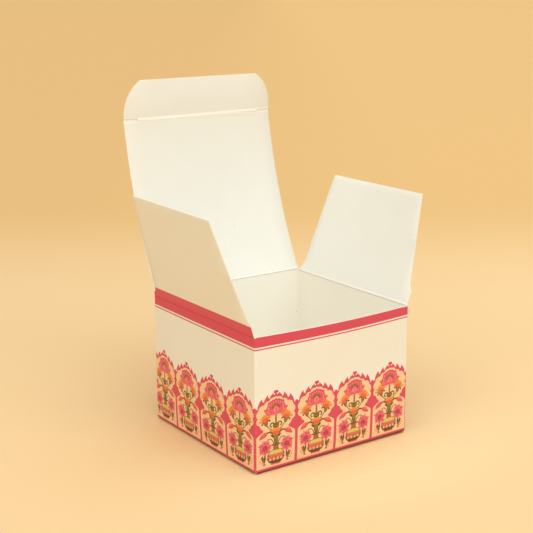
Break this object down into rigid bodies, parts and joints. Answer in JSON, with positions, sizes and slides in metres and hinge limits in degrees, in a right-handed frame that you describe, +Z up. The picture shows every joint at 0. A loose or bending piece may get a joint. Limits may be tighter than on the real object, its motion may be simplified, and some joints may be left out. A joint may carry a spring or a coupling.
{
  "type": "candle box",
  "caption": "Square tuck-top paperboard box standing open, with a bowed hinged lid, slit-locked tuck flap and two dust flaps.",
  "frame": {"origin": "centre of the base, on the surface that the box stands on", "axes": "+Z up, -Y out of the front wall where the tuck goes in, +Y towards the lid's crease, +X towards the right wall"},
  "size_m": [0.1236, 0.1168, 0.1689],
  "materials": {
    "paperboard": "smooth coated ivory board, printed outside"
  },
  "bodies": {
    "carton": {"carton_body": "paperboard"},
    "lid": {"lid_panel": "paperboard"},
    "tuck": {"tuck_flap": "paperboard"},
    "left_dust_flap": {"dust_flap_left": "paperboard"},
    "right_dust_flap": {"dust_flap_right": "paperboard"}
  },
  "joints": [
    {"name": "lid_crease", "type": "hinge", "parent": "carton", "child": "lid", "pos_m": [0, 0.04403, 0.0658], "axis": [1, 0, 0], "range_deg": [-61.7, 108.75]},
    {"name": "tuck_crease", "type": "hinge", "parent": "lid", "child": "tuck", "pos_m": [0, 0.07215, 0.14866], "axis": [1, 0, 0], "range_deg": [-14.3, 66.1]},
    {"name": "left_flap_crease", "type": "hinge", "parent": "carton", "child": "left_dust_flap", "pos_m": [-0.04478, 0, 0.0651], "axis": [0, 1, 0], "range_deg": [-75.5, 104.5]},
    {"name": "right_flap_crease", "type": "hinge", "parent": "carton", "child": "right_dust_flap", "pos_m": [0.04478, 0, 0.0651], "axis": [0, -1, 0], "range_deg": [-68.3, 110.7]}
  ]
}
